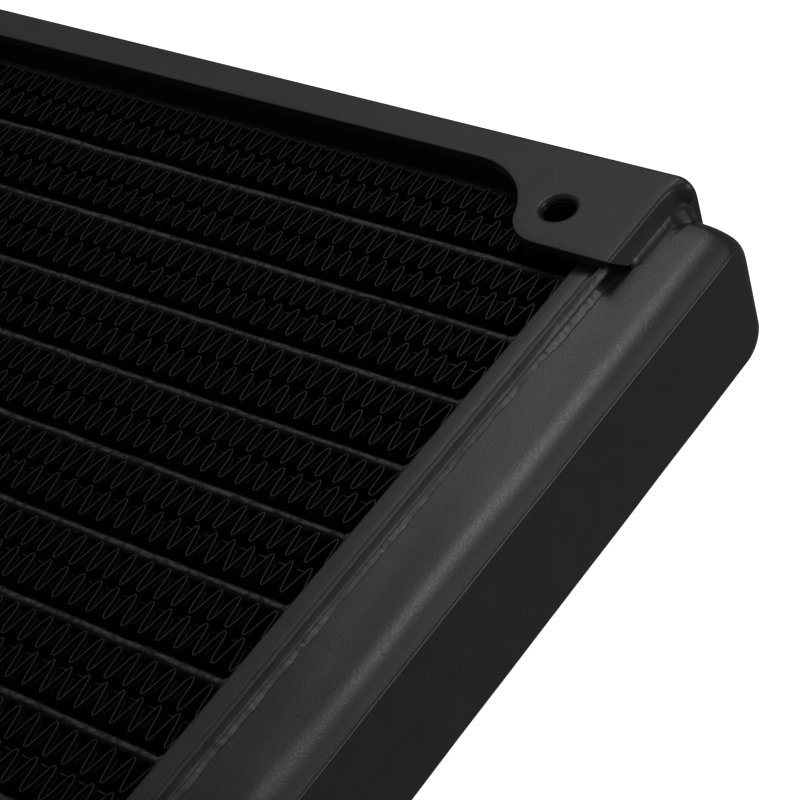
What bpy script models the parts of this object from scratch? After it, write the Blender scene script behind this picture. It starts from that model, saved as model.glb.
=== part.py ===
"""Slim liquid cooling radiator for two 120 mm fans, in metres, +Z up, lying flat.

The coolant enters the port tank, crosses the core through one half of the flat
tubes, turns round in the return tank and comes back through the other half.
"""
import math

import bmesh
import bpy
import numpy as np

MM = 0.001

# Overall sizes, in millimetres. X is the length, Y the width, Z the thickness.
THICKNESS = 20.4
FAN_PITCH = 120.0            # centre to centre of the two fans
HOLE_SPACING = 105.0         # fan screw square
EDGE_MARGIN = 7.9            # fan screw centre to the rail's outer face
RETURN_REACH = 15.8          # outermost fan screw to the return tank's end wall
PORT_REACH = 34.8            # outermost fan screw to the port tank's end wall
GAP = 0.3                    # clearance between neighbouring pieces

# Side rails: pressed channels with widened tabs round the fan screws.
RAIL_WEB = 1.2
RAIL_PLATE = 1.0
FLANGE_WIDTH = 4.05
TAB_REACH = 4.85             # tab beyond the screw centre, towards the core
TAB_CORNER = 4.12            # radius of the tab's corner
TAB_HOLLOW = 8.3             # radius of the hollow curve from the tab to the flange
TAB_SIDE = -0.265            # tab corner's centre, past the screw centre towards the flange
RAIL_OVERHANG = 9.75         # outermost fan screw to the end of the rail's web
LIP_SETBACK = 0.8            # the turned-down lip stands a little inside the web's end
LIP_DROP = 2.0
SCREW_RADIUS = 1.5
COLLAR_RADIUS = 2.3
COLLAR_DEPTH = 0.9

# Header plates: shallow trays that the tubes pass through and the tanks sit in.
HEADER_START = 4.6           # outermost fan screw to the tray's core side
HEADER_PLATE = 0.9
HEADER_FLANGE = 0.6
HEADER_DEPTH = 2.5
HEADER_DROP = 1.4            # rail's face down to the tray's flange
HEADER_CORNER = 1.6

# Tanks: drawn brass shells, slightly tapered, with rounded end walls.
TANK_WALL = 1.0
TANK_DROP = 2.3
TANK_TAPER = 0.65
TANK_CORNER = 1.8            # corner radius of the tank's cross-section at its mouth
TANK_CROWN = (3.8, 1.3)      # length and drop of the crown that leads to the end wall
TANK_CROWN_CORNER = 0.8      # growth of the corner radius per millimetre of that drop
TANK_PLAN_ROUND = 1.5        # the end wall's upright corners, seen from above
TANK_SHOULDER = 1.1          # widening just past the rails' ends
TANK_SHOULDER_RUN = 0.6

# Core: flat tubes with two thin fin strips in each space between them.
TUBE_COUNT = 12
TUBE_PITCH = 8.55
TUBE_THICKNESS = 1.6
TUBE_WALL = 0.35
CORE_DROP = 2.85             # rail's face down to the tubes' rounded edge
FIN_DROP = 2.25              # the fins stand a little proud of the tubes
FIN_THICKNESS = 0.25
FIN_FOLDS = 24
SIDE_PLATE = 0.8

# Coolant ports: threaded bosses for a G 1/4 fitting.
PORT_FROM_END = 12.8
PORT_SPACING = 54.0
PORT_BORE = 5.9
PORT_SPIGOT = 8.2
PORT_COLLAR = 10.0
PORT_DEPTH = 4.5             # spigot length below the tank's top wall
PARTITION_THICKNESS = 1.0
PARTITION_CORNER = 3.3

SCREW_X = FAN_PITCH / 2 + HOLE_SPACING / 2
SCREW_Y = HOLE_SPACING / 2
HALF_WIDTH = SCREW_Y + EDGE_MARGIN
MID_Z = THICKNESS / 2
RAIL_END = SCREW_X + RAIL_OVERHANG
HEADER_X = SCREW_X + HEADER_START
TUBE_HALF_DEPTH = MID_Z - CORE_DROP
# The fan pattern's centre lies off the middle of the length, because the port tank is deeper.
PATTERN_X = (PORT_REACH - RETURN_REACH) / 2

BLACK_COAT = (0.045, 0.046, 0.048, 1.0)
MATERIALS = {
    "coated_brass": (BLACK_COAT, 0.55, 0.0),
    "coated_steel": ((0.06, 0.06, 0.062, 1.0), 0.55, 0.0),
    "coated_copper": ((0.025, 0.025, 0.026, 1.0), 0.6, 0.0),
    "port_brass": ((0.045, 0.045, 0.046, 1.0), 0.45, 0.0),
    "bare_brass": ((0.62, 0.47, 0.2, 1.0), 0.35, 1.0),
}


def clearScene():
    for item in list(bpy.data.objects):
        bpy.data.objects.remove(item, do_unlink=True)


def makeMaterial(name):
    colour, roughness, metallic = MATERIALS[name]
    material = bpy.data.materials.new(name)
    material.use_nodes = True
    shader = material.node_tree.nodes["Principled BSDF"]
    shader.inputs["Base Color"].default_value = colour
    shader.inputs["Roughness"].default_value = roughness
    shader.inputs["Metallic"].default_value = metallic
    return material


def makeObject(name, points, faces, material):
    """One mesh object from millimetre points given about the fan pattern's centre."""
    mesh = bpy.data.meshes.new(name)
    shifted = (np.array(points, dtype=float) + (PATTERN_X, 0.0, 0.0)) * MM
    mesh.from_pydata(shifted.tolist(), [], faces)
    builder = bmesh.new()
    builder.from_mesh(mesh)
    bmesh.ops.remove_doubles(builder, verts=builder.verts, dist=1e-6)
    bmesh.ops.recalc_face_normals(builder, faces=builder.faces)
    builder.to_mesh(mesh)
    builder.free()
    if material is not None:
        mesh.materials.append(material)
    item = bpy.data.objects.new(name, mesh)
    bpy.context.scene.collection.objects.link(item)
    return item


def prism(name, outline, low, high, material=None):
    """A flat outline in X and Y, raised from one height to another."""
    count = len(outline)
    points = [(x, y, low) for x, y in outline] + [(x, y, high) for x, y in outline]
    faces = [tuple(range(count))[::-1], tuple(range(count, 2 * count))]
    faces += [(i, (i + 1) % count, count + (i + 1) % count, count + i) for i in range(count)]
    return makeObject(name, points, faces, material)


def block(name, low, high, material=None):
    outline = [(low[0], low[1]), (high[0], low[1]), (high[0], high[1]), (low[0], high[1])]
    return prism(name, outline, low[2], high[2], material)


def circle(x, y, radius, sides):
    angles = np.linspace(0.0, 2 * math.pi, sides, endpoint=False)
    return [(x + radius * math.cos(a), y + radius * math.sin(a)) for a in angles]


def combine(target, tool, operation):
    """Join or cut with another object, which is then only a construction guide."""
    tool.display_type = "WIRE"
    tool.hide_render = True
    tool.hide_viewport = True
    modifier = target.modifiers.new(tool.name, "BOOLEAN")
    modifier.operation = operation
    modifier.solver = "EXACT"
    modifier.object = tool


def smooth(item, angle=35.0):
    item.data.shade_smooth()
    item.data.set_sharp_from_angle(angle=math.radians(angle))


def roundedRing(x, halfY, halfZ, radius, steps=4):
    """A rounded rectangle in Y and Z at one place along the length."""
    corners = ((1, 1, 0.0), (-1, 1, 0.5), (-1, -1, 1.0), (1, -1, 1.5))
    points = []
    for signY, signZ, start in corners:
        for angle in np.linspace(start * math.pi, (start + 0.5) * math.pi, steps + 1):
            points.append((x, signY * (halfY - radius) + radius * math.cos(angle),
                           MID_Z + signZ * (halfZ - radius) + radius * math.sin(angle)))
    return points


def loftedShell(name, outer, inner, material):
    """A shell open at its first ring, from rings of equal length outside and inside."""
    rings = outer[::-1] + inner
    count = len(rings[0])
    points = [point for ring in rings for point in ring]
    faces = [tuple(range(count)), tuple(range(len(points) - count, len(points)))]
    for row in range(len(rings) - 1):
        base = row * count
        faces += [(base + i, base + (i + 1) % count, base + count + (i + 1) % count, base + count + i)
                  for i in range(count)]
    return makeObject(name, points, faces, material)


def makeTank(name, side, reach, material):
    """A drawn tank: narrow mouth in the header tray, shoulder, taper, rounded end wall."""
    end = SCREW_X + reach
    mouth = HEADER_X + HEADER_PLATE + GAP
    mouthY = HALF_WIDTH - RAIL_WEB - 2 * GAP - HEADER_FLANGE - GAP
    mouthZ = MID_Z - TANK_DROP

    def rings(wall):
        """The sections of one skin, from the mouth to the end wall; wall is its inset."""
        length, drop = TANK_CROWN[0] - wall, TANK_CROWN[1]
        start = end - TANK_CROWN[0]
        shoulder = RAIL_END + GAP
        corner = TANK_CORNER - wall / 2

        def taperedZ(x):
            return mouthZ - TANK_TAPER * (x - mouth) / (start - mouth) - wall

        wide = mouthY + TANK_SHOULDER - wall
        result = [roundedRing(side * mouth, mouthY - wall, taperedZ(mouth), corner),
                  roundedRing(side * (shoulder + wall / 2), mouthY - wall, taperedZ(shoulder), corner),
                  roundedRing(side * (shoulder + TANK_SHOULDER_RUN + wall / 2), wide, taperedZ(shoulder), corner)]
        for angle in np.radians((0, 22.5, 45, 67.5, 90)):
            x = start + length * math.sin(angle)
            insetZ = drop * (1 - math.cos(angle))
            part = max(0.0, (x - (end - wall - TANK_PLAN_ROUND)) / TANK_PLAN_ROUND)
            insetY = TANK_PLAN_ROUND * (1 - math.sqrt(1 - min(part, 1.0) ** 2))
            result.append(roundedRing(side * x, wide - insetY, taperedZ(start) - insetZ,
                                      corner + TANK_CROWN_CORNER * insetZ))
        return result

    tank = loftedShell(name, rings(0.0), rings(TANK_WALL), material)
    smooth(tank)
    return tank


def makeHeader(name, side, material):
    """A tray with a slot for every tube and a flange that holds the tank's mouth."""
    halfY = HALF_WIDTH - RAIL_WEB - 2 * GAP
    halfZ = MID_Z - HEADER_DROP
    inner = HEADER_X + HEADER_PLATE
    rim = HEADER_X + HEADER_DEPTH
    outer = [roundedRing(side * x, halfY, halfZ, HEADER_CORNER) for x in (rim, HEADER_X)]
    inside = [roundedRing(side * x, halfY - HEADER_FLANGE, halfZ - HEADER_FLANGE, HEADER_CORNER - HEADER_FLANGE)
              for x in (rim, inner)]
    header = loftedShell(name, outer, inside, material)
    low, high = sorted((side * (HEADER_X - HEADER_PLATE), side * (inner + HEADER_PLATE)))
    for number, y in enumerate(tubePlaces()):
        outline = stadium(y, TUBE_THICKNESS / 2 + GAP, TUBE_HALF_DEPTH + GAP)
        slot = tubePrism(f"{name}_slot_{number:02d}", outline, low, high)
        combine(header, slot, "DIFFERENCE")
    return header


def tubePlaces():
    return [(i - (TUBE_COUNT - 1) / 2) * TUBE_PITCH for i in range(TUBE_COUNT)]


def stadium(y, halfThickness, halfDepth, steps=4):
    """A flat tube's outline in Y and Z, with round edges."""
    straight = halfDepth - halfThickness
    points = []
    for sign, start in ((1, 0.0), (-1, math.pi)):
        for angle in np.linspace(start, start + math.pi, steps + 1):
            points.append((y + halfThickness * math.cos(angle),
                           MID_Z + sign * straight + halfThickness * math.sin(angle)))
    return points


def tubePrism(name, outline, low, high, material=None, hollow=None):
    """An outline in Y and Z drawn along X; with a hollow outline it is open at both ends."""
    count = len(outline)
    rings = [[(x, y, z) for y, z in outline] for x in (low, high)]
    if hollow is None:
        faces = [tuple(range(count))[::-1], tuple(range(count, 2 * count))]
        links = [(0, 1)]
    else:
        rings += [[(x, y, z) for y, z in hollow] for x in (high, low)]
        faces = []
        links = [(0, 1), (1, 2), (2, 3), (3, 0)]
    for first, second in links:
        for i in range(count):
            after = (i + 1) % count
            faces.append((first * count + i, first * count + after,
                          second * count + after, second * count + i))
    points = [point for ring in rings for point in ring]
    return makeObject(name, points, faces, material)


def makeTubes(material):
    reach = HEADER_X + HEADER_PLATE
    for number, y in enumerate(tubePlaces(), start=1):
        outline = stadium(y, TUBE_THICKNESS / 2, TUBE_HALF_DEPTH)
        hollow = stadium(y, TUBE_THICKNESS / 2 - TUBE_WALL, TUBE_HALF_DEPTH - TUBE_WALL)
        tube = tubePrism(f"flat_tube_{number:02d}", outline, -reach, reach, material, hollow)
        smooth(tube)


def makeFinStrip(name, low, high, material):
    """A folded ribbon that touches both of its neighbours, drawn through the core's depth."""
    reach = HEADER_X - GAP
    half = FIN_THICKNESS / 2
    xs = np.linspace(-reach, reach, FIN_FOLDS + 1)
    middle = np.where(np.arange(FIN_FOLDS + 1) % 2 == 0, low + 2 * half, high - 2 * half)
    upper = [(float(x), float(y) + half) for x, y in zip(xs, middle)]
    lower = [(float(x), float(y) - half) for x, y in zip(xs, middle)]
    floor = FIN_DROP
    points = [(x, y, z) for z in (floor, THICKNESS - floor) for x, y in lower + upper]
    count = FIN_FOLDS + 1
    layer = 2 * count
    faces = []
    for i in range(FIN_FOLDS):
        a, b, c, d = i, i + 1, count + i + 1, count + i
        faces.append((a, d, c, b))
        faces.append((layer + a, layer + b, layer + c, layer + d))
        faces.append((a, b, layer + b, layer + a))
        faces.append((c, d, layer + d, layer + c))
    last = FIN_FOLDS
    faces.append((0, layer, layer + count, count))
    faces.append((last, count + last, layer + count + last, layer + last))
    return makeObject(name, points, faces, material)


def makeFins(material):
    """Two strips in every space between tubes, and outside the outermost tubes."""
    space = TUBE_PITCH - TUBE_THICKNESS
    height = (space - 3 * GAP) / 2
    first = TUBE_THICKNESS / 2 - (TUBE_COUNT + 1) / 2 * TUBE_PITCH
    for number in range(TUBE_COUNT + 1):
        start = first + number * TUBE_PITCH
        for letter, low in (("a", start + GAP), ("b", start + 2 * GAP + height)):
            makeFinStrip(f"fin_strip_{number + 1:02d}{letter}", low, low + height, material)


def makeSidePlate(name, side, material):
    """The flat strip that closes the core beside its outermost fins."""
    near = (TUBE_COUNT + 1) / 2 * TUBE_PITCH - TUBE_THICKNESS / 2
    reach = HEADER_X - GAP
    low, high = sorted((side * near, side * (near + SIDE_PLATE)))
    block(name, (-reach, low, CORE_DROP), (reach, high, THICKNESS - CORE_DROP), material)


def tabEdge(screwX, direction):
    """The rail plate's inner edge beside one screw, from the tab's front to the flange.

    The tab's corner is an arc that ends where its centre and the hollow arc's centre line
    up, and the hollow arc then runs out along the flange. Y is measured inwards from the
    rail's outer face.
    """
    cornerY = EDGE_MARGIN + TAB_REACH - TAB_CORNER
    hollowY = FLANGE_WIDTH + TAB_HOLLOW
    apart = TAB_CORNER + TAB_HOLLOW
    meeting = math.asin((hollowY - cornerY) / apart)
    hollowX = TAB_SIDE + apart * math.cos(meeting)
    points = []
    for angle in np.linspace(math.pi / 2, meeting, 6):
        points.append((screwX + direction * (TAB_SIDE + TAB_CORNER * math.cos(angle)),
                       cornerY + TAB_CORNER * math.sin(angle)))
    for angle in np.linspace(meeting, math.pi / 2, 6)[1:]:
        points.append((screwX + direction * (hollowX - TAB_HOLLOW * math.cos(angle)),
                       hollowY - TAB_HOLLOW * math.sin(angle)))
    return points


def railOutline(side):
    """The plan of a rail's plate: end tabs, and a middle tab across both inner screws."""
    inner = FAN_PITCH / 2 - HOLE_SPACING / 2
    front = EDGE_MARGIN + TAB_REACH
    lipEnd = RAIL_END - LIP_SETBACK
    edge = [(RAIL_END, 0.0), (RAIL_END, RAIL_WEB), (lipEnd, RAIL_WEB), (lipEnd, front)]
    edge += tabEdge(SCREW_X, -1)
    edge += tabEdge(inner, 1)[::-1]
    half = edge + [(-x, y) for x, y in edge[::-1]]
    return [(x, side * (HALF_WIDTH - y)) for x, y in half]


def makeRail(name, side, material):
    """A channel of two tabbed plates on an upright web, with collared screw holes."""
    outline = railOutline(side)
    web = sorted((side * HALF_WIDTH, side * (HALF_WIDTH - RAIL_WEB)))
    rail = block(name, (-RAIL_END, web[0], 0.0), (RAIL_END, web[1], THICKNESS), material)
    inner = FAN_PITCH / 2 - HOLE_SPACING / 2
    tabY = sorted((side * HALF_WIDTH, side * (HALF_WIDTH - EDGE_MARGIN - TAB_REACH)))
    for label, face, direction in (("lower", 0.0, 1), ("upper", THICKNESS, -1)):
        plate = sorted((face, face + direction * RAIL_PLATE))
        combine(rail, prism(f"{name}_{label}_plate", outline, *plate), "UNION")
        lip = sorted((face + direction * RAIL_PLATE / 2, face + direction * LIP_DROP))
        for end in (-1, 1):
            lipEnd = RAIL_END - LIP_SETBACK
            lipX = sorted((end * lipEnd, end * (lipEnd - RAIL_PLATE)))
            turned = block(f"{name}_{label}_lip_{end}", (lipX[0], tabY[0], lip[0]), (lipX[1], tabY[1], lip[1]))
            combine(rail, turned, "UNION")
        collar = sorted((face + direction * RAIL_PLATE / 2, face + direction * (RAIL_PLATE + COLLAR_DEPTH)))
        for x in (-SCREW_X, -inner, inner, SCREW_X):
            ring = circle(x, side * SCREW_Y, COLLAR_RADIUS, 16)
            combine(rail, prism(f"{name}_{label}_collar_{x:.0f}", ring, *collar), "UNION")
    for x in (-SCREW_X, -inner, inner, SCREW_X):
        hole = prism(f"{name}_hole_{x:.0f}", circle(x, side * SCREW_Y, SCREW_RADIUS, 16), -1.0, THICKNESS + 1.0)
        combine(rail, hole, "DIFFERENCE")
    return rail


def portPlaces():
    x = -(SCREW_X + PORT_REACH - PORT_FROM_END)
    return [("inlet", x, -PORT_SPACING / 2), ("outlet", x, PORT_SPACING / 2)]


def makePorts(tank, material):
    """Threaded bosses: a wide collar on the tank and a spigot through its top wall."""
    for label, x, y in portPlaces():
        seat = THICKNESS - TANK_DROP + GAP
        boss = prism(f"{label}_port_boss", circle(x, y, PORT_COLLAR, 32), seat, THICKNESS, material)
        spigot = prism(f"{label}_spigot", circle(x, y, PORT_SPIGOT, 32),
                       THICKNESS - TANK_DROP - PORT_DEPTH, seat + GAP)
        combine(boss, spigot, "UNION")
        bore = prism(f"{label}_bore", circle(x, y, PORT_BORE, 32), 0.0, THICKNESS + 1.0)
        combine(boss, bore, "DIFFERENCE")
        opening = prism(f"{label}_tank_hole", circle(x, y, PORT_SPIGOT + GAP, 32), MID_Z, THICKNESS + 1.0)
        combine(tank, opening, "DIFFERENCE")


def makePartition(material):
    """The upright wall that splits the port tank into an inlet and an outlet half."""
    start = HEADER_X + HEADER_PLATE + 2 * GAP
    end = SCREW_X + PORT_REACH - TANK_WALL - GAP
    half = MID_Z - TANK_DROP - TANK_TAPER - TANK_WALL - GAP
    corner = PARTITION_CORNER
    thick = PARTITION_THICKNESS / 2
    outline = [(-start, -half), (-start, half), (-end + corner, half), (-end, half - corner),
               (-end, -half + corner), (-end + corner, -half)]
    points = [(x, y, MID_Z + z) for y in (-thick, thick) for x, z in outline]
    count = len(outline)
    faces = [tuple(range(count)), tuple(range(count, 2 * count))[::-1]]
    faces += [(i, count + i, count + (i + 1) % count, (i + 1) % count) for i in range(count)]
    makeObject("flow_partition", points, faces, material)


def main():
    clearScene()
    material = {name: makeMaterial(name) for name in MATERIALS}
    makeTank("return_tank", 1, RETURN_REACH, material["coated_brass"])
    portTank = makeTank("port_tank", -1, PORT_REACH, material["coated_brass"])
    makePorts(portTank, material["port_brass"])
    makePartition(material["bare_brass"])
    makeHeader("return_header_plate", 1, material["coated_brass"])
    makeHeader("port_header_plate", -1, material["coated_brass"])
    makeRail("side_rail_left", -1, material["coated_steel"])
    makeRail("side_rail_right", 1, material["coated_steel"])
    makeSidePlate("core_side_plate_left", -1, material["coated_steel"])
    makeSidePlate("core_side_plate_right", 1, material["coated_steel"])
    makeTubes(material["coated_brass"])
    makeFins(material["coated_copper"])


main()
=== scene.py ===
import math

import bmesh
import bpy
import numpy as np
from mathutils import Matrix, Vector


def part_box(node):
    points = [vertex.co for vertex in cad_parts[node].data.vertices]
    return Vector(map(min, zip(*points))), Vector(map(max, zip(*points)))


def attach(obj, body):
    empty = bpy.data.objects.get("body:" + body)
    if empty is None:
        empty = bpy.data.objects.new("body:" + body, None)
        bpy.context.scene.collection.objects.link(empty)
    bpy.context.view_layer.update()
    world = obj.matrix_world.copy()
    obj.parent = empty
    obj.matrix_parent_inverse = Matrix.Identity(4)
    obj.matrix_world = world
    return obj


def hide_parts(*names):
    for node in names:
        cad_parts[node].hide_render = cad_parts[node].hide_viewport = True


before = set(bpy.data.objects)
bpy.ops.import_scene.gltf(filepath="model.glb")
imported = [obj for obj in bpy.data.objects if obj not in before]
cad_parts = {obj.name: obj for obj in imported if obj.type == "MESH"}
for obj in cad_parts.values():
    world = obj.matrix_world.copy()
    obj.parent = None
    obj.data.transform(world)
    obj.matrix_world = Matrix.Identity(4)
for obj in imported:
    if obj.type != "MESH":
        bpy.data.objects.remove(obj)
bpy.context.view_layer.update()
print("frame loaded with", len(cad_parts), "nodes")

mm = 0.001


def span(node):
    # lowest and highest corner of a CAD node, in millimetres
    low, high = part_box(node)
    return np.array(low) / mm, np.array(high) / mm


railLow, railHigh = span("side_rail_right")
portTankTop = span("port_tank")[1][2]
tubeLow, tubeHigh = span("flat_tube_01")
topZ = railHigh[2]                             # the fan faces of the rails
midZ = topZ / 2
centreX = (railLow[0] + railHigh[0]) / 2       # middle of the fan pattern along the length
railEnd = railHigh[0] - centreX


# ---- mesh tools

def wander(x, seed, low, high, count=7):
    # sum of sines of seeded rates (cycles per mm, low to high) and phases, scaled to stay near 1
    dice = np.random.default_rng(seed)
    rates = dice.uniform(low, high, count) * 2 * math.pi
    phases = dice.uniform(0, 2 * math.pi, count)
    return np.sin(np.multiply.outer(x, rates) + phases).sum(-1) / math.sqrt(count)


def gridFaces(rows, columns, closedColumns=False, closedRows=False):
    # one quad between each pair of neighbouring rows and columns
    row = np.arange(rows if closedRows else rows - 1)[:, None]
    column = np.arange(columns if closedColumns else columns - 1)[None, :]
    nextRow, nextColumn = (row + 1) % rows, (column + 1) % columns
    corners = [row * columns + column, row * columns + nextColumn,
               nextRow * columns + nextColumn, nextRow * columns + column]
    return np.stack(np.broadcast_arrays(*corners), -1).reshape(-1, 4)


def joined(parts):
    # several (points, faces) pairs as one pair
    points, faces, count = [], [], 0
    for somePoints, someFaces in parts:
        points.append(somePoints.reshape(-1, 3))
        faces.append(someFaces + count)
        count += len(points[-1])
    return np.concatenate(points), np.concatenate(faces)


def wall(outer, inner, closedColumns=False):
    # a solid between two skins of the same grid size, with its rims closed
    rows, columns = outer.shape[:2]
    count = rows * columns
    faces = [gridFaces(rows, columns, closedColumns), gridFaces(rows, columns, closedColumns)[:, ::-1] + count]
    rims = [np.arange(columns), np.arange(columns) + (rows - 1) * columns]
    if closedColumns:
        rims = [np.append(rim, rim[0]) for rim in rims]
    else:
        rims += [np.arange(rows) * columns, np.arange(rows) * columns + columns - 1]
    for rim in rims:
        faces.append(np.stack([rim[:-1], rim[1:], rim[1:] + count, rim[:-1] + count], -1))
    return np.concatenate([outer.reshape(-1, 3), inner.reshape(-1, 3)]), np.concatenate(faces)


def newMesh(name, points, faces, sharp):
    # points in millimetres and quads become a closed mesh with merged doubles and outward faces
    mesh = bpy.data.meshes.new(name)
    mesh.vertices.add(len(points))
    mesh.vertices.foreach_set("co", (points * mm).astype(np.float32).ravel())
    mesh.loops.add(faces.size)
    mesh.loops.foreach_set("vertex_index", faces.astype(np.int32).ravel())
    mesh.polygons.add(len(faces))
    mesh.polygons.foreach_set("loop_start", np.arange(0, faces.size, 4, dtype=np.int32))
    mesh.update(calc_edges=True)
    work = bmesh.new()
    work.from_mesh(mesh)
    bmesh.ops.remove_doubles(work, verts=work.verts, dist=2e-7)
    bmesh.ops.dissolve_degenerate(work, edges=work.edges, dist=2e-7)
    bmesh.ops.recalc_face_normals(work, faces=work.faces)
    work.to_mesh(mesh)
    work.free()
    mesh.shade_smooth()
    mesh.set_sharp_from_angle(angle=math.radians(sharp))
    return mesh


def addPiece(name, points, faces, material, slotName, nodes=(), sharp=38):
    item = bpy.data.objects.new(name, newMesh(name, points, faces, sharp))
    item.data.materials.append(material)
    bpy.context.scene.collection.objects.link(item)
    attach(item, "root")
    if nodes:
        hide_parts(*nodes)
    return item


def cutOut(item, points, faces, sharp=38):
    # takes a closed shape out of a piece, and leaves nothing but the result
    tool = bpy.data.objects.new("cutter", newMesh("cutter", points, faces, 60))
    bpy.context.scene.collection.objects.link(tool)
    change = item.modifiers.new("cut", "BOOLEAN")
    change.operation, change.solver, change.object = "DIFFERENCE", "EXACT", tool
    result = bpy.data.meshes.new_from_object(item.evaluated_get(bpy.context.evaluated_depsgraph_get()))
    item.modifiers.clear()
    item.data = result
    bpy.data.objects.remove(tool)
    result.shade_smooth()
    result.set_sharp_from_angle(angle=math.radians(sharp))


def turned(profile, segments, centre, pitch=0.0, depth=0.0, threaded=None):
    # a closed profile of (radius, height) turned round an upright axis.
    # threaded marks the rows whose radius falls by depth along a triangular wave of that pitch, as a helix
    radius, height = np.array(profile, float).T
    angle = np.linspace(0, 2 * math.pi, segments, endpoint=False)
    radii = np.repeat(radius[:, None], segments, 1)
    if threaded is not None:
        turn = height[:, None] / pitch - angle[None, :] / (2 * math.pi)
        ridge = np.abs((turn % 1.0) * 2 - 1)
        radii = radii - depth * np.clip(ridge * 1.3 - 0.1, 0, 1) * np.array(threaded, float)[:, None]
    points = np.stack([centre[0] + radii * np.cos(angle), centre[1] + radii * np.sin(angle),
                       np.repeat(height[:, None], segments, 1)], -1)
    return points.reshape(-1, 3), gridFaces(len(radius), segments, True, True)


def rings(x, halfY, halfZ, radius, longSteps, cornerSteps, shortSteps):
    # rounded rectangles in Y and Z, one for each x. Columns run round the outline: each is a corner
    # centre (cy, cz times the half sizes less the radius) plus a unit direction (oy, oz) times the radius
    cy, cz, oy, oz = [], [], [], []
    for signY, signZ, start in ((1, 1, 0.0), (-1, 1, 0.5), (-1, -1, 1.0), (1, -1, 1.5)):
        turnBy = np.linspace(start, start + 0.5, cornerSteps) * math.pi
        cy.append(np.full(cornerSteps, signY))
        cz.append(np.full(cornerSteps, signZ))
        oy.append(np.cos(turnBy))
        oz.append(np.sin(turnBy))
        steps = longSteps if signY == signZ else shortSteps
        across = np.linspace(1, -1, steps + 2)[1:-1]
        if signY == signZ:
            cy.append(signY * across)
            cz.append(np.full(steps, signZ))
        else:
            cy.append(np.full(steps, signY))
            cz.append(signZ * across)
        oy.append(np.full(steps, np.cos(turnBy[-1])))
        oz.append(np.full(steps, np.sin(turnBy[-1])))
    cy, cz, oy, oz = (np.concatenate(part)[None, :] for part in (cy, cz, oy, oz))
    x, halfY, halfZ, radius = (np.broadcast_to(np.asarray(v, float), np.shape(x))[:, None]
                               for v in (x, halfY, halfZ, radius))
    y = cy * (halfY - radius) + oy * radius
    z = midZ + cz * (halfZ - radius) + oz * radius
    return np.stack(np.broadcast_arrays(x, y, z), -1), np.concatenate([oy, oz]).T


# ---- finishes

def nodesOf(material):
    material.use_nodes = True
    tree = material.node_tree
    return tree, tree.nodes["Principled BSDF"]


def noise(tree, scale, detail=2.0, rough=0.5):
    place = tree.nodes.get("place") or tree.nodes.new("ShaderNodeTexCoord")
    place.name = "place"
    texture = tree.nodes.new("ShaderNodeTexNoise")
    texture.inputs["Scale"].default_value = scale
    texture.inputs["Detail"].default_value = detail
    texture.inputs["Roughness"].default_value = rough
    tree.links.new(place.outputs["Object"], texture.inputs["Vector"])
    return texture.outputs["Fac"]


def ranged(tree, value, low, high, toLow, toHigh):
    # value from low..high to toLow..toHigh, held at the ends
    change = tree.nodes.new("ShaderNodeMapRange")
    for name, number in (("From Min", low), ("From Max", high), ("To Min", toLow), ("To Max", toHigh)):
        change.inputs[name].default_value = number
    tree.links.new(value, change.inputs["Value"])
    return change.outputs["Result"]


def blended(tree, factor, first, second):
    mix = tree.nodes.new("ShaderNodeMix")
    mix.data_type = "RGBA"
    for place, colour in ((6, first), (7, second)):
        if isinstance(colour, tuple):
            mix.inputs[place].default_value = (*colour, 1.0)
        else:
            tree.links.new(colour, mix.inputs[place])
    if isinstance(factor, float):
        mix.inputs[0].default_value = factor
    else:
        tree.links.new(factor, mix.inputs[0])
    return mix.outputs[2]


def bumped(tree, shader, height, distance, strength=1.0):
    bump = tree.nodes.new("ShaderNodeBump")
    bump.inputs["Distance"].default_value = distance
    bump.inputs["Strength"].default_value = strength
    tree.links.new(height, bump.inputs["Height"])
    tree.links.new(bump.outputs["Normal"], shader.inputs["Normal"])


coatLook = {
    "dark": (0.0150, 0.0150, 0.0152),
    "light": (0.0215, 0.0215, 0.0219),
    "grain": 3600.0,          # powder grains, per metre
    "mottle": 260.0,
    "bump": 0.000012,
    "roughness": (0.25, 0.35),
    "gloss": 0.5,
}


def powderCoat(name, **changes):
    # black powder coat: fine grains raise the surface and vary its gloss, with faint wider mottling
    look = dict(coatLook, **changes)
    material = bpy.data.materials.new(name)
    tree, shader = nodesOf(material)
    grain = noise(tree, look["grain"], 3.0, 0.6)
    mottle = noise(tree, look["mottle"], 2.0)
    colour = blended(tree, ranged(tree, mottle, 0.35, 0.65, 0.0, 1.0), look["dark"], look["light"])
    tree.links.new(colour, shader.inputs["Base Color"])
    low, high = look["roughness"]
    tree.links.new(ranged(tree, grain, 0.3, 0.7, high, low), shader.inputs["Roughness"])
    shader.inputs["Specular IOR Level"].default_value = look["gloss"]
    bumped(tree, shader, grain, look["bump"])
    return material


brassCoat = powderCoat("black_powder_coat")
solderCoat = powderCoat("coated_solder", roughness=(0.28, 0.40), grain=3000.0)
railCoat = powderCoat("black_rail_coat", roughness=(0.30, 0.42))
portCoat = powderCoat("coated_port", roughness=(0.25, 0.34), bump=0.000006)

# near-black coat for the threaded sleeves inside the screw holes: painted shade for the deep holes
threadShadeCoat = powderCoat("thread_coat_painted_shade", dark=(0.002, 0.002, 0.002), light=(0.005, 0.005, 0.005), gloss=0.2)

# fin paint: near-black sides, with a painted highlight on the fins' upward and downward rims
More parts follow.
